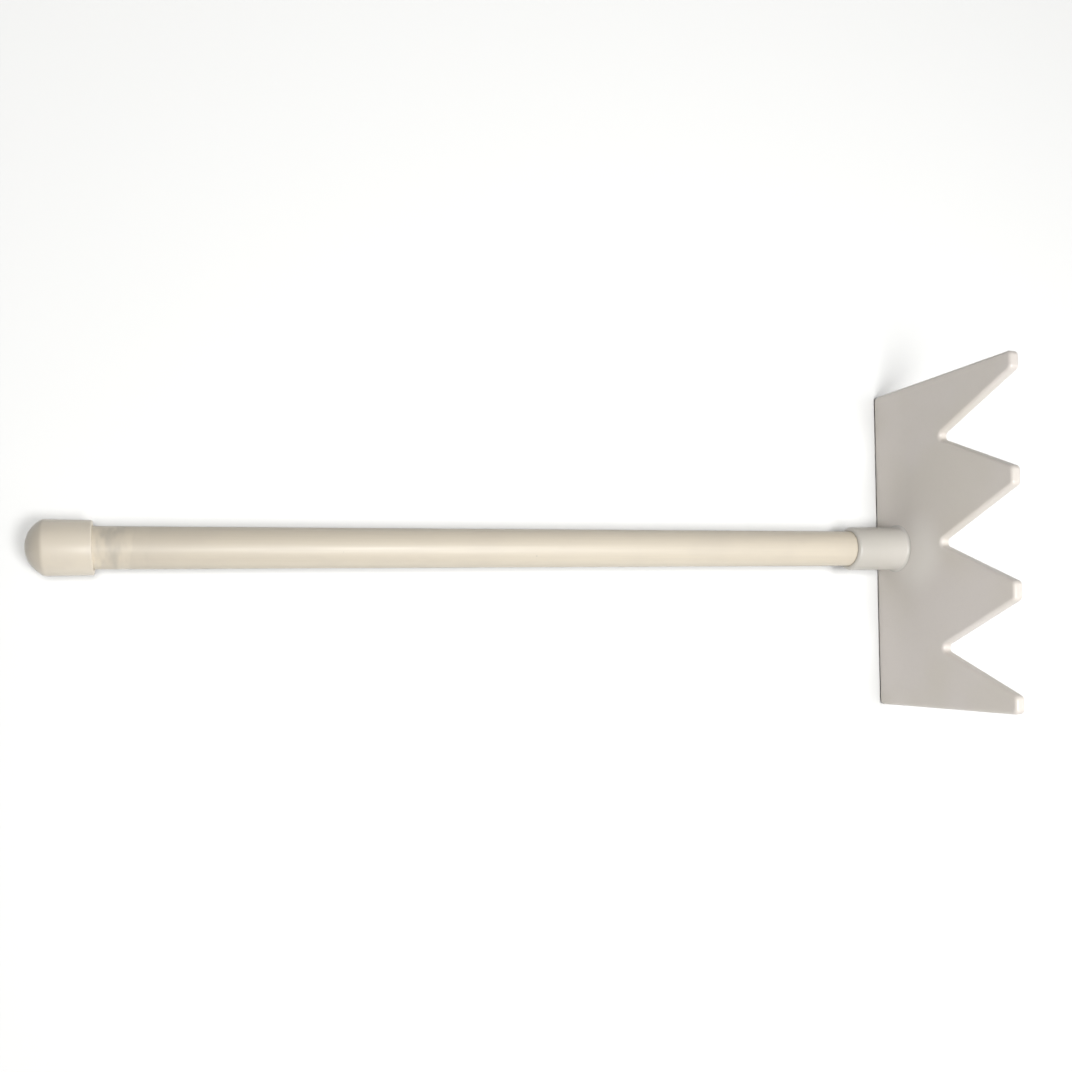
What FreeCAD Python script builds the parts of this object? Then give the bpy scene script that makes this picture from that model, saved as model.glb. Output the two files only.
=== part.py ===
import FreeCAD, Part
import math
import os

from FreeCAD import Vector

# Toothed mortar mixing hoe: a plastic pipe handle with a domed end cap and a four-toothed head.
#
# The handle is level, with the straight back edge of the blade down and the teeth up.
# +X runs along the handle towards the blade, +Y across the blade and +Z up along the teeth.
# The origin is under the middle of the tool, level with the back edge.
# Sizes are in millimetres.

# Handle: a 24 inch length of 3/4 inch schedule 40 pipe.
PIPE_LENGTH = 609.6
PIPE_RADIUS = 26.67 / 2
PIPE_WALL = 2.87
PIPE_END_EASE = 0.8

# Cement joints: the film's thickness, and how deep the pipe sits in each fitting.
CEMENT_FILM = 0.12
CAP_GRIP = 23.6
SOCKET_GRIP = 40.0

# Slip cap: a drafted skirt, a tight knuckle and a dished crown with the moulding gate's small flat.
CAP_LENGTH = 38.5
CAP_RIM_RADIUS = 17.0
CAP_SHOULDER_RADIUS = 17.3
CAP_KNUCKLE_RADIUS = 4.5
CAP_CROWN_RADIUS = 19.5
CAP_CROWN_WALL = 3.6
CAP_GATE_RADIUS = 2.5
CAP_RIM_EASE = 0.7

# Collar of the head, which takes the pipe, and the bead that joins it to the blade.
SOCKET_RADIUS = 33.4 / 2
SOCKET_LENGTH = 45.0
SOCKET_LIP_ROUND = 2.8
SOCKET_MOUTH_EASE = 0.4
ROOT_BEAD_LEG = 2.0
ROOT_BEAD_HOLLOW = 0.45

# Blade: a 250 by 152 mm plate, 8 mm thick, with V notches cut into one long edge.
BLADE_WIDTH = 250.0
BLADE_HEIGHT = 152.0
BLADE_THICKNESS = 8.0
BLADE_EDGE_ROUND = 2.5
BACK_CORNER_RADIUS = 4.0
TOOTH_COUNT = 4
TOOTH_TIP_WIDTH = 12.5
TOOTH_CORNER_RADIUS = 4.0
NOTCH_DEPTH = 78.5
NOTCH_ROOT_RADIUS = 3.2

# The handle's axis stands this far above the blade's back edge.
AXIS_HEIGHT = 25.0
BORE_RADIUS = PIPE_RADIUS + CEMENT_FILM

# Places along the handle, from the cap's crown to the blade's outer face.
EXPOSED_PIPE = PIPE_LENGTH - CAP_GRIP - SOCKET_GRIP
OVERALL_LENGTH = CAP_LENGTH + EXPOSED_PIPE + SOCKET_LENGTH + BLADE_THICKNESS
CROWN_X = -OVERALL_LENGTH / 2
CAP_RIM_X = CROWN_X + CAP_LENGTH
PIPE_START_X = CAP_RIM_X - CAP_GRIP
PIPE_END_X = PIPE_START_X + PIPE_LENGTH
SOCKET_MOUTH_X = PIPE_END_X - SOCKET_GRIP
BLADE_FACE_X = SOCKET_MOUTH_X + SOCKET_LENGTH


def station(x, radius):
    """A point of a lengthwise section, at a distance above the handle's axis."""
    return Vector(x, 0, AXIS_HEIGHT + radius)


def straight_sides(corners):
    """Straight edges from each corner to the next one."""
    return [Part.LineSegment(a, b).toShape() for a, b in zip(corners, corners[1:])]


def turned(edges):
    """The solid that a closed section sweeps in one turn about the handle's axis."""
    section = Part.Face(Part.Wire(Part.__sortEdges__(edges)))
    return section.revolve(station(0, 0), Vector(1, 0, 0), 360)


def bend(centre, radius, start_turn, end_turn):
    """An arc of a section. Turns are from straight up, over towards the cap's crown."""
    turns = (start_turn, (start_turn + end_turn) / 2, end_turn)
    points = [centre + Vector(-math.sin(turn), 0, math.cos(turn)) * radius for turn in turns]
    return Part.Arc(*points)


def make_pipe():
    """The handle: a length of pipe with the outside of both ends eased."""
    inside = PIPE_RADIUS - PIPE_WALL
    end_face = PIPE_RADIUS - PIPE_END_EASE
    section = [
        station(PIPE_START_X, inside),
        station(PIPE_START_X, end_face),
        station(PIPE_START_X + PIPE_END_EASE, PIPE_RADIUS),
        station(PIPE_END_X - PIPE_END_EASE, PIPE_RADIUS),
        station(PIPE_END_X, end_face),
        station(PIPE_END_X, inside),
        station(PIPE_START_X, inside),
    ]
    return turned(straight_sides(section))


def make_cap():
    """The end cap: a blind socket with a drafted skirt and a dished crown of even thickness."""
    knuckle_height = CAP_SHOULDER_RADIUS - CAP_KNUCKLE_RADIUS
    knuckle_turn = math.acos(knuckle_height / (CAP_CROWN_RADIUS - CAP_KNUCKLE_RADIUS))
    gate_turn = math.acos(CAP_GATE_RADIUS / CAP_CROWN_RADIUS)
    centre_x = CROWN_X + CAP_CROWN_RADIUS * math.sin(gate_turn)
    shoulder_x = centre_x - (CAP_CROWN_RADIUS - CAP_KNUCKLE_RADIUS) * math.sin(knuckle_turn)
    crown = bend(station(centre_x, 0), CAP_CROWN_RADIUS, knuckle_turn, gate_turn)
    knuckle = bend(station(shoulder_x, knuckle_height), CAP_KNUCKLE_RADIUS, 0, knuckle_turn)
    inside_radius = CAP_CROWN_RADIUS - CAP_CROWN_WALL
    bore_turn = math.acos(BORE_RADIUS / inside_radius)
    inside_gate_turn = math.acos(CAP_GATE_RADIUS / inside_radius)
    inside = bend(station(centre_x, 0), inside_radius, bore_turn, inside_gate_turn)
    skirt = [
        knuckle.StartPoint,
        station(CAP_RIM_X - CAP_RIM_EASE, CAP_RIM_RADIUS),
        station(CAP_RIM_X, CAP_RIM_RADIUS - CAP_RIM_EASE),
        station(CAP_RIM_X, BORE_RADIUS + CAP_RIM_EASE),
        station(CAP_RIM_X - CAP_RIM_EASE, BORE_RADIUS),
        inside.StartPoint,
    ]
    gate = [
        inside.EndPoint,
        station(inside.EndPoint.x, 0),
        station(CROWN_X, 0),
        crown.EndPoint,
    ]
    edges = straight_sides(skirt) + straight_sides(gate)
    edges += [arc.toShape() for arc in (inside, crown, knuckle)]
    return turned(edges)


def make_socket():
    """The collar that stands on the blade, with a rounded lip and an eased mouth."""
    lip = SOCKET_LIP_ROUND
    bulge = lip * (1 - math.sqrt(0.5))
    lip_start = station(SOCKET_MOUTH_X, SOCKET_RADIUS - lip)
    lip_middle = station(SOCKET_MOUTH_X + bulge, SOCKET_RADIUS - bulge)
    lip_end = station(SOCKET_MOUTH_X + lip, SOCKET_RADIUS)
    wall = [
        lip_end,
        station(BLADE_FACE_X, SOCKET_RADIUS),
        station(BLADE_FACE_X, BORE_RADIUS),
        station(SOCKET_MOUTH_X + SOCKET_MOUTH_EASE, BORE_RADIUS),
        station(SOCKET_MOUTH_X, BORE_RADIUS + SOCKET_MOUTH_EASE),
        lip_start,
    ]
    edges = straight_sides(wall)
    edges.append(Part.Arc(lip_start, lip_middle, lip_end).toShape())
    return turned(edges)


def make_root_bead():
    """The hollow-faced bead between collar and blade."""
    top = station(BLADE_FACE_X - ROOT_BEAD_LEG, SOCKET_RADIUS)
    corner = station(BLADE_FACE_X, SOCKET_RADIUS)
    toe = station(BLADE_FACE_X, SOCKET_RADIUS + ROOT_BEAD_LEG)
    middle = (top + toe) / 2
    waist = middle + (corner - middle).normalize() * ROOT_BEAD_HOLLOW
    edges = straight_sides([top, corner, toe])
    edges.append(Part.Arc(toe, waist, top).toShape())
    return turned(edges)


def make_cement(start_x, end_x):
    """A film of cement between the pipe and a fitting's bore."""
    section = [
        station(start_x, PIPE_RADIUS),
        station(start_x, BORE_RADIUS),
        station(end_x, BORE_RADIUS),
        station(end_x, PIPE_RADIUS),
        station(start_x, PIPE_RADIUS),
    ]
    return turned(straight_sides(section))


def blade_corners():
    """Each corner of the blade's outline with its radius, in order round the plate."""
    half_width = BLADE_WIDTH / 2
    pitch = (BLADE_WIDTH - TOOTH_TIP_WIDTH) / (TOOTH_COUNT - 1)
    corners = [(half_width, 0, BACK_CORNER_RADIUS), (-half_width, 0, BACK_CORNER_RADIUS)]
    for tooth in range(TOOTH_COUNT):
        tip_start = -half_width + tooth * pitch
        tip_end = tip_start + TOOTH_TIP_WIDTH
        corners.append((tip_start, BLADE_HEIGHT, TOOTH_CORNER_RADIUS))
        corners.append((tip_end, BLADE_HEIGHT, TOOTH_CORNER_RADIUS))
        if tooth < TOOTH_COUNT - 1:
            notch_middle = (tip_end + tip_start + pitch) / 2
            corners.append((notch_middle, BLADE_HEIGHT - NOTCH_DEPTH, NOTCH_ROOT_RADIUS))
    return [(Vector(BLADE_FACE_X, y, z), radius) for y, z, radius in corners]


def corner_arc(before, corner, after, radius):
    """The arc that rounds a corner, tangent to the two straight sides that meet there."""
    to_before = (before - corner).normalize()
    to_after = (after - corner).normalize()
    half_angle = to_before.getAngle(to_after) / 2
    to_centre = (to_before + to_after).normalize()
    middle = corner + to_centre * (radius / math.sin(half_angle) - radius)
    setback = radius / math.tan(half_angle)
    return Part.Arc(corner + to_before * setback, middle, corner + to_after * setback)


def make_blade():
    """The toothed plate, with both faces' edges softly rounded all the way round."""
    corners = blade_corners()
    arcs = []
    for i, (corner, radius) in enumerate(corners):
        before = corners[i - 1][0]
        after = corners[(i + 1) % len(corners)][0]
        arcs.append(corner_arc(before, corner, after, radius))
    outline = []
    for i, arc in enumerate(arcs):
        next_arc = arcs[(i + 1) % len(arcs)]
        outline.append(arc.toShape())
        outline.append(Part.LineSegment(arc.EndPoint, next_arc.StartPoint).toShape())
    plate = Part.Face(Part.Wire(outline)).extrude(Vector(BLADE_THICKNESS, 0, 0))
    rim_edges = [edge for edge in plate.Edges if edge.BoundBox.XLength < BLADE_THICKNESS / 2]
    return plate.makeFillet(BLADE_EDGE_ROUND, rim_edges)


PIECES = {
    "toothed_blade": make_blade(),
    "handle_socket": make_socket(),
    "socket_root_bead": make_root_bead(),
    "handle_pipe": make_pipe(),
    "end_cap": make_cap(),
    "socket_cement": make_cement(SOCKET_MOUTH_X + SOCKET_MOUTH_EASE, PIPE_END_X - PIPE_END_EASE),
    "cap_cement": make_cement(PIPE_START_X + PIPE_END_EASE, CAP_RIM_X - CAP_RIM_EASE),
}

os.makedirs("parts", exist_ok=True)
for node, shape in PIECES.items():
    shape.exportStep("parts/" + node + ".step")
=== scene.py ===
import math

import bmesh
import bpy
from mathutils import Euler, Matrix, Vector


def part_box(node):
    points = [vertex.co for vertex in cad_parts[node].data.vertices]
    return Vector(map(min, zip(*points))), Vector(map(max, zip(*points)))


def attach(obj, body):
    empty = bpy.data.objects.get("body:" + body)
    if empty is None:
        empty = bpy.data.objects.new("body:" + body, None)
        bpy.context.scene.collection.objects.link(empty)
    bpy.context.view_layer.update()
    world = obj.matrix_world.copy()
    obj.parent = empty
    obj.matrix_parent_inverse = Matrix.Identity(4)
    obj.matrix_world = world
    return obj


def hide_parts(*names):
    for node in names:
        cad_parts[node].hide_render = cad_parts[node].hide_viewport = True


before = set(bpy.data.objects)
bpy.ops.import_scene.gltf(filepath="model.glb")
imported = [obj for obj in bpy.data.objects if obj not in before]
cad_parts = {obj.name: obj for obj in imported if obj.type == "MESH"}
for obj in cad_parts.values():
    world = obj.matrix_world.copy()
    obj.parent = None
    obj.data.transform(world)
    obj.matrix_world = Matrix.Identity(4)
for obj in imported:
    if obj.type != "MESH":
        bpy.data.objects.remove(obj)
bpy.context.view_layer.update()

# Toothed mortar mixing hoe: an extruded pipe handle, a moulded slip cap and a moulded head.
# Lengths are in metres. +X runs along the handle to the blade and +Z up along the teeth.

bl_info = {
    "name": "Mortar Mixing Hoe",
    "version": (1, 0, 0),
    "blender": (4, 5, 0),
    "location": "3D View > Sidebar > Hoe",
    "description": "Builds the visible pieces of a toothed mortar mixing hoe around its packed model",
    "category": "Object",
}

MM = 0.001

BLADE_LOW, BLADE_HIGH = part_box("toothed_blade")
COLLAR_LOW, COLLAR_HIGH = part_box("handle_socket")
PIPE_LOW, PIPE_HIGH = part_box("handle_pipe")
CAP_LOW, CAP_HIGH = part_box("end_cap")

AXIS_Z = (PIPE_LOW.z + PIPE_HIGH.z) / 2
PIPE_RADIUS = (PIPE_HIGH.z - PIPE_LOW.z) / 2
COLLAR_RADIUS = (COLLAR_HIGH.z - COLLAR_LOW.z) / 2
CAP_RADIUS = (CAP_HIGH.z - CAP_LOW.z) / 2

CEMENT_FILM = 0.12 * MM
BORE_RADIUS = PIPE_RADIUS + CEMENT_FILM
CAP_WALL = 3.6 * MM
CAP_GATE_RADIUS = 2.5 * MM
CAP_MOUTH_EASE = 0.6 * MM
COLLAR_MOUTH_EASE = 0.4 * MM
CUT_END_EASE = 0.8 * MM
COLLAR_OVERLAP = 1.0 * MM
FLAT_MARGIN = 1.2 * MM
ON_AXIS = 1e-9
SHARP_ANGLE = 40

# The stage: lengths in metres, angles in degrees, lamps in watts.
FLOOR_REACH = 6.0
WASH_STRENGTH = 4.6
WASH_SOFTNESS = 20
BACKDROP_LIGHT = 0.06
BACKDROP_SHOWN = 0.66
LAMP_AIM = Vector((0.1, 0.0, 0.0))
LAMPS = (
    # name, place, size, watts
    ("key", (0.11, -0.26, 1.12), 0.4, 15.0),
    ("right back", (1.5, -1.5, 1.8), 0.8, 4.0),
    ("behind blade", (1.2, 0.0, 0.6), 0.6, 2.5),
)
CAMERA_PLACE = (-0.23297, -0.06252, 0.74538)
CAMERA_TURN = (-0.5036, -18.7685, -1.6194)
CAMERA_LENS = 36.107
CAMERA_SHIFT = (-0.0062, 0.1119)


class HoeSizes(bpy.types.PropertyGroup):
    """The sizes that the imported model's boxes don't give."""

    tooth_count: bpy.props.IntProperty(
        name="Teeth", description="Number of teeth along the blade", default=4, min=2, max=8
    )
    tip_width: bpy.props.FloatProperty(
        name="Tip Width", description="Width of a tooth's blunt tip", default=12.5 * MM, unit="LENGTH"
    )
    notch_depth: bpy.props.FloatProperty(
        name="Notch Depth",
        description="From the tips to where a notch's straight sides would meet",
        default=78.5 * MM,
        unit="LENGTH",
    )
    notch_root: bpy.props.FloatProperty(
        name="Notch Root",
        description="Radius at the bottom of a notch",
        default=3.2 * MM,
        unit="LENGTH",
    )
    corner_round: bpy.props.FloatProperty(
        name="Corner Radius",
        description="Radius of the blade's outline at its corners and tips",
        default=4 * MM,
        unit="LENGTH",
    )
    edge_round: bpy.props.FloatProperty(
        name="Edge Rounding",
        description="Radius between the blade's faces and its rim",
        default=2.5 * MM,
        unit="LENGTH",
    )
    root_fillet: bpy.props.FloatProperty(
        name="Root Fillet",
        description="Radius where the collar runs into the blade",
        default=2.0 * MM,
        unit="LENGTH",
    )
    lip_round: bpy.props.FloatProperty(
        name="Lip Rounding",
        description="Radius of the collar's outer lip",
        default=2.8 * MM,
        unit="LENGTH",
    )
    pipe_wall: bpy.props.FloatProperty(
        name="Pipe Wall", description="Wall thickness of the pipe", default=2.87 * MM, unit="LENGTH"
    )
    cap_rim_radius: bpy.props.FloatProperty(
        name="Cap Rim Radius",
        description="Outside radius at the cap's open rim",
        default=17 * MM,
        unit="LENGTH",
    )
    cap_knuckle: bpy.props.FloatProperty(
        name="Cap Knuckle",
        description="Radius between the cap's skirt and crown",
        default=4.5 * MM,
        unit="LENGTH",
    )
    cap_crown: bpy.props.FloatProperty(
        name="Cap Crown",
        description="Radius of the cap's dished crown",
        default=19.5 * MM,
        unit="LENGTH",
    )


class HoeFinish(bpy.types.PropertyGroup):
    """The colours of the finishes."""

    head_colour: bpy.props.StringProperty(
        name="Head", description="Moulded head plastic, as an sRGB hex value", default="D6CFC9"
    )
    # The collar is the same plastic as the head; its darker colour is painted shade.
    collar_shaded_colour: bpy.props.StringProperty(
        name="Collar",
        description="Moulded collar plastic, as an sRGB hex value",
        default="C5C1BC",
    )
    pipe_colour: bpy.props.StringProperty(
        name="Pipe", description="Extruded pipe plastic, as an sRGB hex value", default="D3C9B7"
    )
    cap_colour: bpy.props.StringProperty(
        name="Cap", description="Moulded cap plastic, as an sRGB hex value", default="DDD3C2"
    )
    cement_colour: bpy.props.StringProperty(
        name="Cement",
        description="Set solvent cement in the joints, as an sRGB hex value",
        default="CDB98A",
    )
    floor_colour: bpy.props.StringProperty(
        name="Floor", description="Matt studio floor, as an sRGB hex value", default="AAAAA9"
    )


def linear(colour):
    """An sRGB hex value as linear red, green, blue and alpha."""
    shares = [int(colour[i : i + 2], 16) / 255 for i in (0, 2, 4)]
    return [s / 12.92 if s <= 0.04045 else ((s + 0.055) / 1.055) ** 2.4 for s in shares] + [1.0]


def add_node(tree, kind, settings=None, inputs=None):
    """Adds a node, sets its properties, and gives its inputs a value or a link."""
    node = tree.nodes.new(kind)
    for name, value in (settings or {}).items():
        setattr(node, name, value)
    for key, value in (inputs or {}).items():
        socket = node.inputs[key]
        if isinstance(value, bpy.types.Node):
            value = next(output for output in value.outputs if output.enabled)
        if isinstance(value, bpy.types.NodeSocket):
            tree.links.new(value, socket)
        else:
            socket.default_value = value
    return node


def new_material(name):
    """An empty node material with its output."""
    material = bpy.data.materials.new(name)
    material.use_nodes = True
    material.node_tree.nodes.clear()
    output = add_node(material.node_tree, "ShaderNodeOutputMaterial")
    return material, material.node_tree, output


# ---------------------------------------------------------------- turned pieces


def arc(centre, radius, start, end, steps):
    """Points of an arc of a section, each a place along the axis and a distance from it.
    Angles are in degrees, from straight out from the axis towards the cap."""
    points = []
    for i in range(steps + 1):
        turn = math.radians(start + (end - start) * i / steps)
        points.append((centre[0] - radius * math.sin(turn), centre[1] + radius * math.cos(turn)))
    return points


def turned_mesh(name, section, segments=128):
    """Turns a closed section about the handle's axis. A point on the axis becomes one pole."""
    bm = bmesh.new()
    rings = []
    for i in range(segments):
        turn = 2 * math.pi * i / segments
        ring = []
        for j, (x, r) in enumerate(section):
            if r < ON_AXIS and rings:
                ring.append(rings[0][j])
                continue
            ring.append(bm.verts.new((x, r * math.sin(turn), AXIS_Z - r * math.cos(turn))))
        rings.append(ring)
    for i, ring in enumerate(rings):
        following = rings[(i + 1) % segments]
        for j in range(len(ring)):
            k = (j + 1) % len(ring)
            corners = [ring[j], ring[k], following[k], following[j]]
            corners = list(dict.fromkeys(corners))
            if len(corners) > 2:
                bm.faces.new(corners)
    bmesh.ops.recalc_face_normals(bm, faces=bm.faces)
    mesh = bpy.data.meshes.new(name)
    bm.to_mesh(mesh)
    bm.free()
    mesh.shade_smooth()
    mesh.set_sharp_from_angle(angle=math.radians(SHARP_ANGLE))
    return mesh


def add_piece(name, mesh, material, slot, *nodes):
    """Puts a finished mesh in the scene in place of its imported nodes."""
    piece = bpy.data.objects.new(name, mesh)
    bpy.context.scene.collection.objects.link(piece)
    if material is not None:
        mesh.materials.clear()
        mesh.materials.append(material)
    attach(piece, "root")
    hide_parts(*nodes)
    return piece


# ---------------------------------------------------------------- finishes


def scaled(colour, *shares):
    """A linear colour made darker or paler, channel by channel."""
    return [level * share for level, share in zip(colour, shares)] + [1.0]


def millimetres(tree, stretch=(1.0, 1.0, 1.0)):
    """Object coordinates in millimetres. A stretch below 1 draws a pattern out along that axis."""
    spot = add_node(tree, "ShaderNodeTexCoord").outputs["Object"]
    scale = [share / MM for share in stretch]
    return add_node(tree, "ShaderNodeMapping", None, {"Vector": spot, "Scale": scale})


def pattern(tree, spot, size, low, high, detail):
    """Soft random patches of a size in millimetres, from 0 below the low level to 1 above the high one."""
    noise = add_node(
        tree,
        "ShaderNodeTexNoise",
        None,
        {"Vector": spot, "Scale": 1 / size, "Detail": detail, "Roughness": 0.55},
    )
    return add_node(
        tree,
        "ShaderNodeMapRange",
        {"interpolation_type": "SMOOTHSTEP"},
        {"Value": noise, "From Min": low, "From Max": high},
    )


def laid_over(tree, pattern_share, strength, under, over):
    """One colour laid over another where a pattern is strong, and never thicker than the strength."""
    share = add_node(tree, "ShaderNodeMath", {"operation": "MULTIPLY"}, {0: pattern_share, 1: strength})
    return add_node(tree, "ShaderNodeMix", {"data_type": "RGBA"}, {0: share, 6: under, 7: over})


def moulded_head_plastic(name, colour, painted_bounce):
    """ABS moulded in a steel tool with a fine spark-eroded texture: an even satin that mirrors its
    neighbours only as a soft glow. The resin clouds where its flow fronts met and mortar dust dulls the
    grain. A pale patch on the face above the collar is painted bounce light from the collar."""
    material, tree, output = new_material(name)
    base = linear(colour)
    spot = millimetres(tree)
    clouds = pattern(tree, spot, size=85.0, low=0.35, high=0.65, detail=2.0)
    dust = pattern(tree, spot, size=2.6, low=0.45, high=0.75, detail=4.0)
    clouded = laid_over(tree, clouds, 1.0, base, scaled(base, 0.965, 0.965, 0.93))
    dusted = laid_over(tree, dust, 0.10, clouded, scaled(base, 0.86, 0.86, 0.86))

    # Distances through the blade count four times, so the painted bounce light doesn't reach the outer
    # face.
    through = 4.0
    middle = (through * BLADE_LOW.x, -6 * MM, AXIS_Z + COLLAR_RADIUS + 10 * MM)
    from_middle = add_node(
        tree,
        "ShaderNodeVectorMath",
        {"operation": "DISTANCE"},
        {0: millimetres(tree, (through, 1.0, 1.0)), 1: [length / MM for length in middle]},
    )
    bounce_nearness = add_node(
        tree,
        "ShaderNodeMapRange",
        {"interpolation_type": "SMOOTHERSTEP"},
        {
            "Value": from_middle.outputs["Value"],
            "From Min": 6.0,
            "From Max": 40.0,
            "To Min": 1.0,
            "To Max": 0.0,
        },
    )
    # Painted bounce light: the face above the collar is made paler, as if lit by light thrown off the
    # collar.
    bounce_lit = laid_over(tree, bounce_nearness, painted_bounce, dusted, scaled(base, 1.17, 1.20, 1.20))

    worn = add_node(tree, "ShaderNodeMapRange", None, {"Value": clouds, "To Min": 0.36, "To Max": 0.42})
    grain = add_node(
        tree,
        "ShaderNodeTexNoise",
        None,
        {"Vector": spot, "Scale": 1 / 0.7, "Detail": 2.0, "Roughness": 0.5},
    )
    ripple = add_node(
        tree,
        "ShaderNodeTexNoise",
        None,
        {"Vector": spot, "Scale": 1 / 14.0, "Detail": 1.0, "Roughness": 0.5},
    )
    fine = add_node(tree, "ShaderNodeBump", None, {"Strength": 0.5, "Distance": 0.03 * MM, "Height": grain})
    waved = add_node(
        tree,
        "ShaderNodeBump",
        None,
        {"Strength": 0.6, "Distance": 0.15 * MM, "Height": ripple, "Normal": fine},
    )
    shader = add_node(
        tree,
        "ShaderNodeBsdfPrincipled",
        None,
        {"Base Color": bounce_lit, "Roughness": worn, "IOR": 1.54, "Normal": waved},
    )
    tree.links.new(shader.outputs[0], output.inputs["Surface"])
    return material


def extruded_pipe_plastic(colour):
    """PVC pipe drawn through a die: ivory with a low gloss and faint lines along it. Wiped solvent cement
    has left pale and grubby smears beside the cap, and a few specks of dirt stick along it."""
    material, tree, output = new_material("extruded_pvc_ivory")
    base = linear(colour)
    greyer = scaled(base, 0.90, 0.90, 0.92)
    grime = scaled(base, 0.68, 0.70, 0.74)
    film = scaled(base, 1.09, 1.09, 1.09)
    spot = millimetres(tree)
    along = millimetres(tree, (0.012, 1.0, 1.0))
    around = millimetres(tree, (1.0, 0.45, 0.45))
    drifting = millimetres(tree, (0.5, 1.0, 1.0))
    lines = pattern(tree, along, size=1.1, low=0.30, high=0.70, detail=3.0)
    clouds = pattern(tree, drifting, size=22.0, low=0.40, high=0.68, detail=4.0)
    lined = laid_over(tree, lines, 0.35, base, greyer)
    clouded = laid_over(tree, clouds, 0.45, lined, greyer)

    # Smears start at the cap's rim and end about 4 cm along the pipe.
    from_rim = add_node(tree, "ShaderNodeSeparateXYZ", None, {0: spot}).outputs["X"]
    near = add_node(
        tree,
        "ShaderNodeMapRange",
        {"interpolation_type": "SMOOTHSTEP"},
        {
            "Value": from_rim,
            "From Min": CAP_HIGH.x / MM + 14.0,
            "From Max": CAP_HIGH.x / MM + 38.0,
            "To Min": 1.0,
            "To Max": 0.0,
        },
    )
    wipes = pattern(tree, around, size=8.0, low=0.42, high=0.66, detail=2.0)
    marks = pattern(tree, around, size=13.0, low=0.46, high=0.64, detail=2.0)
    rag = add_node(tree, "ShaderNodeMath", {"operation": "MULTIPLY"}, {0: near, 1: wipes})
    dirt = add_node(tree, "ShaderNodeMath", {"operation": "MULTIPLY"}, {0: near, 1: marks})
    smeared = laid_over(tree, dirt, 0.55, clouded, grime)
    wiped = laid_over(tree, rag, 0.75, smeared, film)

    # Specks: one small dot in a few of the cells of a coarse foam.
    cells = add_node(
        tree, "ShaderNodeTexVoronoi", None, {"Vector": spot, "Scale": 1 / 16.0, "Randomness": 1.0}
    )
    dot = add_node(
        tree,
        "ShaderNodeMapRange",
        None,
        {
            "Value": cells.outputs["Distance"],
            "From Min": 0.022,
            "From Max": 0.045,
            "To Min": 1.0,
            "To Max": 0.0,
        },
    )
    pick = add_node(
        tree, "ShaderNodeMath", {"operation": "GREATER_THAN"}, {0: cells.outputs["Color"], 1: 0.35}
    )
    speck = add_node(tree, "ShaderNodeMath", {"operation": "MULTIPLY"}, {0: dot, 1: pick})
    spotted = laid_over(tree, speck, 0.6, wiped, grime)

    # The wiped film is a little glossier than the drawn surface.
    drawn_gloss = add_node(
        tree, "ShaderNodeMapRange", None, {"Value": lines, "To Min": 0.42, "To Max": 0.52}
    )
    gloss = add_node(
        tree, "ShaderNodeMath", {"operation": "MULTIPLY_ADD"}, {0: rag, 1: -0.14, 2: drawn_gloss}
    )
    drawn = add_node(
        tree, "ShaderNodeBump", None, {"Strength": 0.35, "Distance": 0.03 * MM, "Height": lines}
    )
    ridged = add_node(
        tree,
        "ShaderNodeBump",
        None,
        {"Strength": 0.3, "Distance": 0.04 * MM, "Height": rag, "Normal": drawn},
    )
    shader = add_node(
        tree,
        "ShaderNodeBsdfPrincipled",
        None,
        {"Base Color": spotted, "Roughness": gloss, "IOR": 1.53, "Normal": ridged},
    )
    tree.links.new(shader.outputs[0], output.inputs["Surface"])
    return material


def moulded_cap_plastic(colour):
    """PVC moulded against a polished tool: ivory and smoother than the pipe, so it takes a crisper light.
    Handling has greyed it in patches."""
    material, tree, output = new_material("moulded_pvc_ivory")
    base = linear(colour)
    spot = millimetres(tree)
    clouds = pattern(tree, spot, size=13.0, low=0.45, high=0.70, detail=4.0)
    handled = laid_over(tree, clouds, 0.25, base, scaled(base, 0.88, 0.88, 0.91))
    gloss = add_node(tree, "ShaderNodeMapRange", None, {"Value": clouds, "To Min": 0.34, "To Max": 0.42})
    orange_peel = add_node(
        tree,
        "ShaderNodeTexNoise",
        None,
        {"Vector": spot, "Scale": 1 / 1.6, "Detail": 2.0, "Roughness": 0.5},
    )
    bump = add_node(
        tree, "ShaderNodeBump", None, {"Strength": 0.1, "Distance": 0.006 * MM, "Height": orange_peel}
    )
    shader = add_node(
        tree,
        "ShaderNodeBsdfPrincipled",
        None,
        {"Base Color": handled, "Roughness": gloss, "IOR": 1.53, "Normal": bump},
    )
    tree.links.new(shader.outputs[0], output.inputs["Surface"])
    return material


def solvent_cement(colour):
    """Solvent cement that has set in the joints: clear amber, smooth and glossy where it was squeezed."""
    material, tree, output = new_material("dried_solvent_cement")
    shader = add_node(
        tree,
        "ShaderNodeBsdfPrincipled",
        None,
        {"Base Color": linear(colour), "Roughness": 0.22, "IOR": 1.52, "Transmission Weight": 0.25},
    )
    tree.links.new(shader.outputs[0], output.inputs["Surface"])
    return material


def studio_floor(colour):
    """Seamless backdrop paper: matt and plain, a mid grey that the floor's own light makes pale."""
    material, tree, output = new_material("matt_backdrop_paper")
    shader = add_node(
        tree,
        "ShaderNodeBsdfPrincipled",
        None,
        {"Base Color": linear(colour), "Roughness": 0.9, "IOR": 1.4},
    )
    tree.links.new(shader.outputs[0], output.inputs["Surface"])
    return material


# ---------------------------------------------------------------- blade


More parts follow.
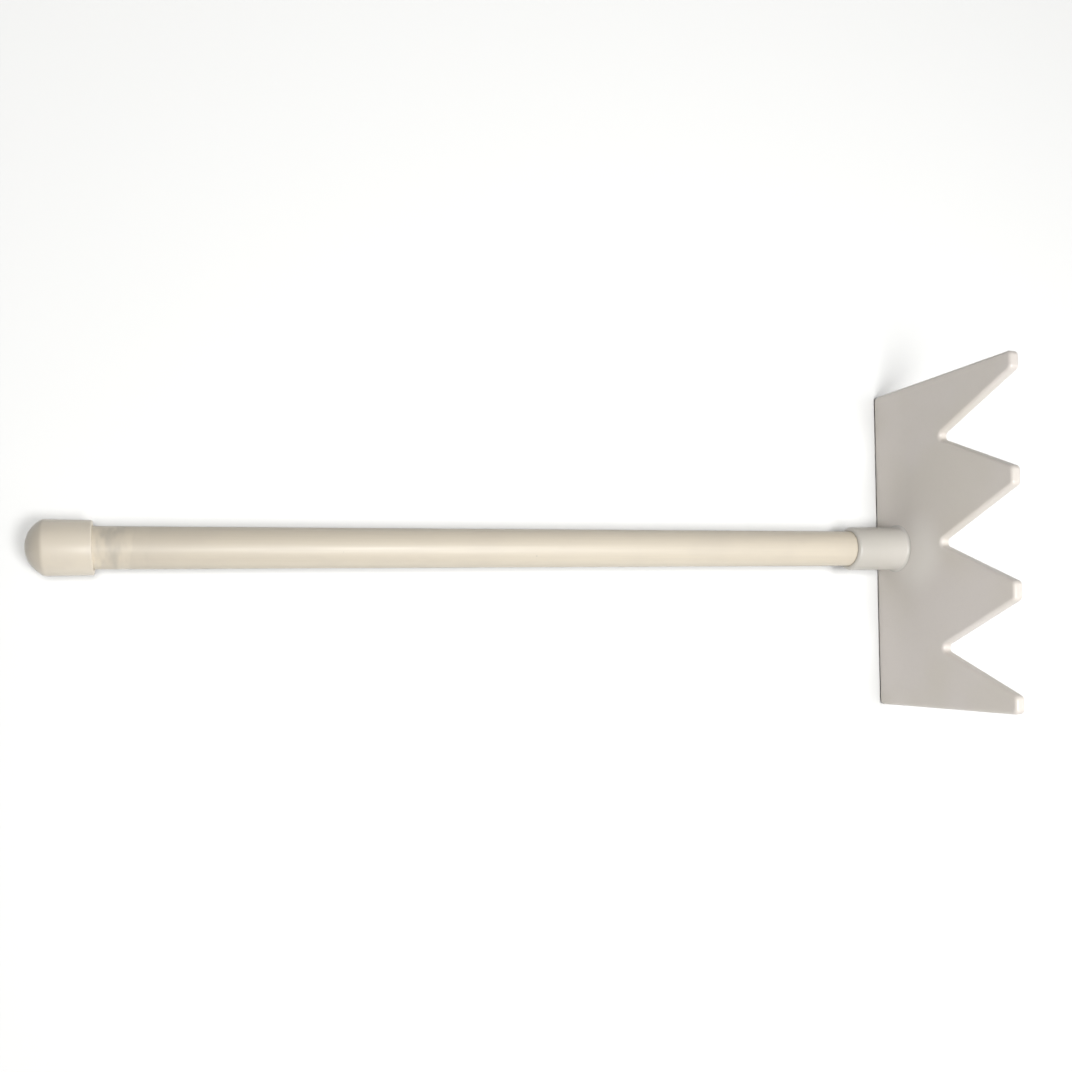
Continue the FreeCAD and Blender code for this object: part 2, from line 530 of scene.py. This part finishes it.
def blade_tree():
    """The rule for the blade: corners by counting along the teeth, rounded, swept and filled."""
    tree = bpy.data.node_groups.new("toothed_plate", "GeometryNodeTree")
    tree.is_modifier = True
    lengths = ("Width", "Height", "Thickness", "Tip Width", "Notch Depth", "Notch Root")
    lengths += ("Corner Radius", "Edge Rounding", "Face X", "Flat Margin")
    for name in lengths:
        tree.interface.new_socket(name, in_out="INPUT", socket_type="NodeSocketFloat")
    tree.interface.new_socket("Teeth", in_out="INPUT", socket_type="NodeSocketInt")
    tree.interface.new_socket("Material", in_out="INPUT", socket_type="NodeSocketMaterial")
    tree.interface.new_socket("Geometry", in_out="OUTPUT", socket_type="NodeSocketGeometry")
    given = add_node(tree, "NodeGroupInput").outputs
    values = {name: given[name] for name in lengths + ("Teeth",)}
    values["Index"] = add_node(tree, "GeometryNodeInputIndex").outputs[0]

    # Three corners to a tooth: tip start, tip end and the notch after it. Two back corners follow.
    rule = [
        ("corners", "MULTIPLY_ADD", "Teeth", 3, 1),
        ("first back", "MULTIPLY_ADD", "Teeth", 3, -1.5),
        ("third", "DIVIDE", "Index", 3),
        ("tooth", "FLOOR", "third"),
        ("place", "FLOORED_MODULO", "Index", 3),
        ("is notch", "GREATER_THAN", "place", 1.5),
        ("is back", "GREATER_THAN", "Index", "first back"),
        ("is front", "SUBTRACT", 1, "is back"),
        ("gaps", "SUBTRACT", "Teeth", 1),
        ("spread", "SUBTRACT", "Width", "Tip Width"),
        ("pitch", "DIVIDE", "spread", "gaps"),
        ("half width", "MULTIPLY", "Width", 0.5),
        ("from side", "MULTIPLY", "tooth", "pitch"),
        ("tip start", "SUBTRACT", "from side", "half width"),
        ("tip corner", "MULTIPLY_ADD", "place", "Tip Width", "tip start"),
        ("two middles", "ADD", "pitch", "Tip Width"),
        ("notch across", "MULTIPLY_ADD", "two middles", 0.5, "tip start"),
        ("notch shift", "SUBTRACT", "notch across", "tip corner"),
        ("tooth across", "MULTIPLY_ADD", "is notch", "notch shift", "tip corner"),
        ("notch drop", "MULTIPLY", "is notch", "Notch Depth"),
        ("tooth up", "SUBTRACT", "Height", "notch drop"),
        ("past first back", "SUBTRACT", "Index", "first back"),
        ("back side", "SUBTRACT", "past first back", 1),
        ("back sign", "SIGN", "back side"),
        ("back reach", "MULTIPLY", "back sign", "half width"),
        ("back across", "MULTIPLY", "back reach", "is back"),
        ("front across", "MULTIPLY", "tooth across", "is front"),
        ("across", "SUBTRACT", "front across", "back across"),
        ("up", "MULTIPLY", "tooth up", "is front"),
        ("root notch", "MULTIPLY", "is notch", "is front"),
        ("root extra", "SUBTRACT", "Notch Root", "Corner Radius"),
        ("round", "MULTIPLY_ADD", "root notch", "root extra", "Corner Radius"),
        ("half thick", "MULTIPLY", "Thickness", 0.5),
        ("under thick", "MULTIPLY", "Thickness", -0.5),
        ("margin", "ADD", "Edge Rounding", "Flat Margin"),
        ("middle x", "ADD", "Face X", "half thick"),
    ]
    for name, operation, *terms in rule:
        inputs = {i: values.get(term, term) for i, term in enumerate(terms)}
        values[name] = add_node(tree, "ShaderNodeMath", {"operation": operation, "label": name}, inputs)

    corner = add_node(tree, "ShaderNodeCombineXYZ", None, {"X": values["across"], "Y": values["up"]})
    line = add_node(tree, "GeometryNodeMeshLine", None, {"Count": values["corners"]})
    placed = add_node(tree, "GeometryNodeSetPosition", None, {"Geometry": line, "Position": corner})
    marked = add_node(
        tree,
        "GeometryNodeStoreNamedAttribute",
        {"data_type": "FLOAT", "domain": "POINT"},
        {"Geometry": placed, "Name": "round", "Value": values["round"]},
    )
    chain = add_node(tree, "GeometryNodeMeshToCurve", None, {"Mesh": marked})
    ring = add_node(tree, "GeometryNodeSetSplineCyclic", None, {"Geometry": chain, "Cyclic": True})
    radius = add_node(tree, "GeometryNodeInputNamedAttribute", {"data_type": "FLOAT"}, {"Name": "round"})
    outline = add_node(
        tree,
        "GeometryNodeFilletCurve",
        {"mode": "POLY"},
        {"Curve": ring, "Count": 14, "Radius": radius, "Limit Radius": True},
    )
    upright = add_node(tree, "GeometryNodeSetCurveNormal", {"mode": "Z_UP"}, {"Curve": outline})

    # The rim's section: a strip of each flat face, both rounded edges and the side between them.
    ends = {}
    for i, (inwards, height) in enumerate(
        (("margin", "under thick"), (0.0, "under thick"), (0.0, "half thick"), ("margin", "half thick"))
    ):
        ends[f"Point {i + 1}"] = add_node(
            tree, "ShaderNodeCombineXYZ", None, {"X": values.get(inwards, inwards), "Y": values[height]}
        )
    section = add_node(tree, "GeometryNodeCurvePrimitiveQuadrilateral", {"mode": "POINTS"}, ends)
    opened = add_node(tree, "GeometryNodeSetSplineCyclic", None, {"Geometry": section, "Cyclic": False})
    profile = add_node(
        tree,
        "GeometryNodeFilletCurve",
        {"mode": "POLY"},
        {"Curve": opened, "Count": 8, "Radius": values["Edge Rounding"], "Limit Radius": True},
    )
    swept = add_node(
        tree, "GeometryNodeCurveToMesh", None, {"Curve": upright, "Profile Curve": profile}
    )
    rim = add_node(tree, "GeometryNodeFlipFaces", None, {"Mesh": swept})

    # Each flat face fills the loop that the rim leaves open on its side.
    neighbours = add_node(tree, "GeometryNodeInputMeshEdgeNeighbors")
    open_edge = add_node(tree, "ShaderNodeMath", {"operation": "LESS_THAN"}, {0: neighbours, 1: 1.5})
    loops = add_node(tree, "GeometryNodeMeshToCurve", None, {"Mesh": rim, "Selection": open_edge})
    height = add_node(
        tree, "ShaderNodeSeparateXYZ", None, {0: add_node(tree, "GeometryNodeInputPosition")}
    ).outputs["Z"]
    sides = add_node(
        tree, "GeometryNodeSeparateGeometry", {"domain": "CURVE"}, {"Geometry": loops, "Selection": height}
    )
    faces = []
    for loop, level in ((sides.outputs[0], "half thick"), (sides.outputs[1], "under thick")):
        filled = add_node(tree, "GeometryNodeFillCurve", {"mode": "NGONS"}, {"Curve": loop})
        shift = add_node(tree, "ShaderNodeCombineXYZ", None, {"Z": values[level]})
        faces.append(
            add_node(tree, "GeometryNodeTransform", None, {"Geometry": filled, "Translation": shift})
        )
    faces[1] = add_node(tree, "GeometryNodeFlipFaces", None, {"Mesh": faces[1]})
    joined = add_node(tree, "GeometryNodeJoinGeometry")
    for part in (rim, *faces):
        tree.links.new(part.outputs[0], joined.inputs[0])
    welded = add_node(
        tree, "GeometryNodeMergeByDistance", None, {"Geometry": joined, "Distance": 0.02 * MM}
    )
    place = add_node(tree, "ShaderNodeCombineXYZ", None, {"X": values["middle x"]})
    stood = add_node(
        tree,
        "GeometryNodeTransform",
        None,
        {"Geometry": welded, "Translation": place, "Rotation": Euler((math.pi / 2, 0, math.pi / 2))},
    )
    smooth = add_node(tree, "GeometryNodeSetShadeSmooth", None, {"Geometry": stood})
    real = add_node(tree, "GeometryNodeRealizeInstances", None, {"Geometry": smooth})
    coated = add_node(
        tree, "GeometryNodeSetMaterial", None, {"Geometry": real, "Material": given["Material"]}
    )
    add_node(tree, "NodeGroupOutput", None, {"Geometry": coated})
    return tree


def evaluated_mesh(name, tree, inputs):
    """Runs a tree on an empty mesh with the given inputs, and returns the result as a plain mesh."""
    carrier = bpy.data.objects.new(name, bpy.data.meshes.new(name))
    bpy.context.scene.collection.objects.link(carrier)
    modifier = carrier.modifiers.new(name, "NODES")
    modifier.node_group = tree
    for item in tree.interface.items_tree:
        if item.in_out == "INPUT":
            modifier[item.identifier] = inputs[item.name]
    ready = carrier.evaluated_get(bpy.context.evaluated_depsgraph_get())
    mesh = bpy.data.meshes.new_from_object(ready)
    carrier.modifiers.remove(modifier)
    bpy.data.objects.remove(carrier)
    return mesh


class HOE_OT_blade(bpy.types.Operator):
    """Makes the toothed blade"""

    bl_idname = "hoe.blade"
    bl_label = "Blade"

    def execute(self, context):
        sizes = context.scene.hoe_sizes
        colour = context.scene.hoe_finish.head_colour
        # The blade gets the painted bounce light from the collar on its face.
        material = moulded_head_plastic("moulded_abs_warm_grey", colour, painted_bounce=1.0)
        inputs = {
            "Width": BLADE_HIGH.y - BLADE_LOW.y,
            "Height": BLADE_HIGH.z - BLADE_LOW.z,
            "Thickness": BLADE_HIGH.x - BLADE_LOW.x,
            "Tip Width": sizes.tip_width,
            "Notch Depth": sizes.notch_depth,
            "Notch Root": sizes.notch_root,
            "Corner Radius": sizes.corner_round,
            "Edge Rounding": sizes.edge_round,
            "Face X": BLADE_LOW.x,
            "Flat Margin": FLAT_MARGIN,
            "Teeth": sizes.tooth_count,
            "Material": material,
        }
        mesh = evaluated_mesh("blade", blade_tree(), inputs)
        add_piece("blade", mesh, material, "head", "toothed_blade")
        return {"FINISHED"}


class HOE_OT_collar(bpy.types.Operator):
    """Makes the collar and the fillet that runs it into the blade"""

    bl_idname = "hoe.collar"
    bl_label = "Collar"

    def execute(self, context):
        sizes = context.scene.hoe_sizes
        mouth, face = COLLAR_LOW.x, BLADE_LOW.x
        lip, fillet = sizes.lip_round, sizes.root_fillet
        ease = COLLAR_MOUTH_EASE
        buried = face + COLLAR_OVERLAP
        points = [(mouth + ease, BORE_RADIUS), (mouth, BORE_RADIUS + ease)]
        points += arc((mouth + lip, COLLAR_RADIUS - lip), lip, 90, 0, 10)
        points += arc((face - fillet, COLLAR_RADIUS + fillet), fillet, 180, 270, 10)
        points += [(buried, COLLAR_RADIUS + fillet), (buried, BORE_RADIUS)]
        mesh = turned_mesh("collar", points)
        # The collar uses a darker copy of the head plastic: painted shade, not a different resin.
        colour = context.scene.hoe_finish.collar_shaded_colour
        material = moulded_head_plastic("moulded_abs_shaded_copy", colour, painted_bounce=0.0)
        add_piece("collar", mesh, material, "head", "handle_socket", "socket_root_bead")
        return {"FINISHED"}


class HOE_OT_pipe(bpy.types.Operator):
    """Makes the pipe handle"""

    bl_idname = "hoe.pipe"
    bl_label = "Pipe"

    def execute(self, context):
        ease = CUT_END_EASE
        inside = PIPE_RADIUS - context.scene.hoe_sizes.pipe_wall
        start, end = PIPE_LOW.x, PIPE_HIGH.x
        points = [
            (start, inside),
            (start, PIPE_RADIUS - ease),
            (start + ease, PIPE_RADIUS),
            (end - ease, PIPE_RADIUS),
            (end, PIPE_RADIUS - ease),
            (end, inside),
        ]
        mesh = turned_mesh("pipe", points)
        material = extruded_pipe_plastic(context.scene.hoe_finish.pipe_colour)
        add_piece("pipe", mesh, material, "pipe", "handle_pipe")
        return {"FINISHED"}


class HOE_OT_cap(bpy.types.Operator):
    """Makes the slip cap on the handle's end"""

    bl_idname = "hoe.cap"
    bl_label = "End Cap"

    def execute(self, context):
        sizes = context.scene.hoe_sizes
        crown_x, rim_x = CAP_LOW.x, CAP_HIGH.x
        crown, knuckle = sizes.cap_crown, sizes.cap_knuckle
        knuckle_height = CAP_RADIUS - knuckle
        turn = math.degrees(math.acos(knuckle_height / (crown - knuckle)))
        gate_turn = math.degrees(math.acos(CAP_GATE_RADIUS / crown))
        centre_x = crown_x + crown * math.sin(math.radians(gate_turn))
        shoulder_x = centre_x - (crown - knuckle) * math.sin(math.radians(turn))
        inner = crown - CAP_WALL
        bore_turn = math.degrees(math.acos(BORE_RADIUS / inner))
        ease = CUT_END_EASE
        rim = sizes.cap_rim_radius
        points = [(crown_x, 0.0), (crown_x, CAP_GATE_RADIUS)]
        points += arc((centre_x, 0.0), crown, gate_turn, turn, 16)[1:]
        points += arc((shoulder_x, knuckle_height), knuckle, turn, 0, 8)[1:]
        points += arc((rim_x - ease, rim - ease), ease, 0, -90, 5)
        points += [(rim_x, BORE_RADIUS + CAP_MOUTH_EASE), (rim_x - CAP_MOUTH_EASE, BORE_RADIUS)]
        points += arc((centre_x, 0.0), inner, bore_turn, 88, 12)
        points.append((centre_x - inner, 0.0))
        mesh = turned_mesh("cap", points)
        material = moulded_cap_plastic(context.scene.hoe_finish.cap_colour)
        add_piece("cap", mesh, material, "cap", "end_cap")
        return {"FINISHED"}


class HOE_OT_cement(bpy.types.Operator):
    """Finishes the cement in both joints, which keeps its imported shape"""

    bl_idname = "hoe.cement"
    bl_label = "Cement"

    def execute(self, context):
        material = solvent_cement(context.scene.hoe_finish.cement_colour)
        for name in ("socket_cement", "cap_cement"):
            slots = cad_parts[name].material_slots
            for slot in slots:
                slot.material = material
        return {"FINISHED"}


class HOE_OT_stage(bpy.types.Operator):
    """Makes the floor, the lights and the camera"""

    bl_idname = "hoe.stage"
    bl_label = "Stage"

    def execute(self, context):
        scene = context.scene

        # The floor slopes from the back edge up to the end cap, so the tool lies on it at both ends.
        mesh = bpy.data.meshes.new("floor")
        shoulder_x = CAP_LOW.x + 2 * scene.hoe_sizes.cap_knuckle
        slope = CAP_LOW.z / (BLADE_LOW.x - shoulder_x)
        corners = [
            (x * FLOOR_REACH, y * FLOOR_REACH, (BLADE_LOW.x - x * FLOOR_REACH) * slope)
            for x, y in ((-1, -1), (1, -1), (1, 1), (-1, 1))
        ]
        mesh.from_pydata(corners, [], [(0, 1, 2, 3)])
        mesh.materials.append(studio_floor(scene.hoe_finish.floor_colour))
        floor = bpy.data.objects.new("floor", mesh)
        scene.collection.objects.link(floor)

        # The backdrop looks nearly as pale as the floor, but lights the tool only faintly.
        world = bpy.data.worlds.new("studio")
        world.use_nodes = True
        tree = world.node_tree
        tree.nodes.clear()
        ray = add_node(tree, "ShaderNodeLightPath").outputs["Is Camera Ray"]
        glow = add_node(
            tree,
            "ShaderNodeMapRange",
            None,
            {"Value": ray, "To Min": BACKDROP_LIGHT, "To Max": BACKDROP_SHOWN},
        )
        backdrop = add_node(
            tree, "ShaderNodeBackground", None, {"Color": (1.0, 1.0, 1.0, 1.0), "Strength": glow}
        )
        add_node(tree, "ShaderNodeOutputWorld", None, {"Surface": backdrop})
        scene.world = world

        # One even light falls on the floor alone, so it stays pale to its edges.
        sun = bpy.data.lights.new("floor wash", "SUN")
        sun.energy = WASH_STRENGTH
        sun.angle = math.radians(WASH_SOFTNESS)
        wash = bpy.data.objects.new("floor wash", sun)
        scene.collection.objects.link(wash)
        receivers = bpy.data.collections.new("floor only")
        receivers.objects.link(floor)
        wash.light_linking.receiver_collection = receivers

        for name, place, size, watts in LAMPS:
            disk = bpy.data.lights.new(name, "AREA")
            disk.shape = "DISK"
            disk.size = size
            disk.energy = watts
            lamp = bpy.data.objects.new(name, disk)
            lamp.location = place
            lamp.rotation_euler = (LAMP_AIM - Vector(place)).to_track_quat("-Z", "Y").to_euler()
            lamp.visible_camera = False
            scene.collection.objects.link(lamp)

        lens = bpy.data.cameras.new("camera")
        lens.sensor_width = 36
        lens.lens = CAMERA_LENS
        lens.shift_x, lens.shift_y = CAMERA_SHIFT
        lens.clip_start = 0.01
        camera = bpy.data.objects.new("camera", lens)
        camera.location = CAMERA_PLACE
        camera.rotation_euler = [math.radians(angle) for angle in CAMERA_TURN]
        scene.collection.objects.link(camera)
        scene.camera = camera
        scene.view_settings.view_transform = "Standard"
        return {"FINISHED"}


class HOE_PT_panel(bpy.types.Panel):
    """Lists the pieces of the hoe, its sizes and its finishes"""

    bl_label = "Mortar Mixing Hoe"
    bl_idname = "HOE_PT_panel"
    bl_space_type = "VIEW_3D"
    bl_region_type = "UI"
    bl_category = "Hoe"

    def draw(self, context):
        for operator in OPERATORS:
            self.layout.operator(operator.bl_idname)
        for group in (context.scene.hoe_sizes, context.scene.hoe_finish):
            for name in group.__annotations__:
                self.layout.prop(group, name)


OPERATORS = (HOE_OT_blade, HOE_OT_collar, HOE_OT_pipe, HOE_OT_cap, HOE_OT_cement, HOE_OT_stage)
CLASSES = (HoeSizes, HoeFinish, *OPERATORS, HOE_PT_panel)


def register():
    """Makes the settings, operators and panel known."""
    for cls in CLASSES:
        bpy.utils.register_class(cls)
    bpy.types.Scene.hoe_sizes = bpy.props.PointerProperty(type=HoeSizes)
    bpy.types.Scene.hoe_finish = bpy.props.PointerProperty(type=HoeFinish)


def unregister():
    """Takes the settings, operators and panel away."""
    del bpy.types.Scene.hoe_finish
    del bpy.types.Scene.hoe_sizes
    for cls in reversed(CLASSES):
        bpy.utils.unregister_class(cls)


def main():
    """Builds every piece and the stage."""
    register()
    bpy.ops.hoe.blade()
    bpy.ops.hoe.collar()
    bpy.ops.hoe.pipe()
    bpy.ops.hoe.cap()
    bpy.ops.hoe.cement()
    bpy.ops.hoe.stage()


if __name__ == "__main__":
    main()
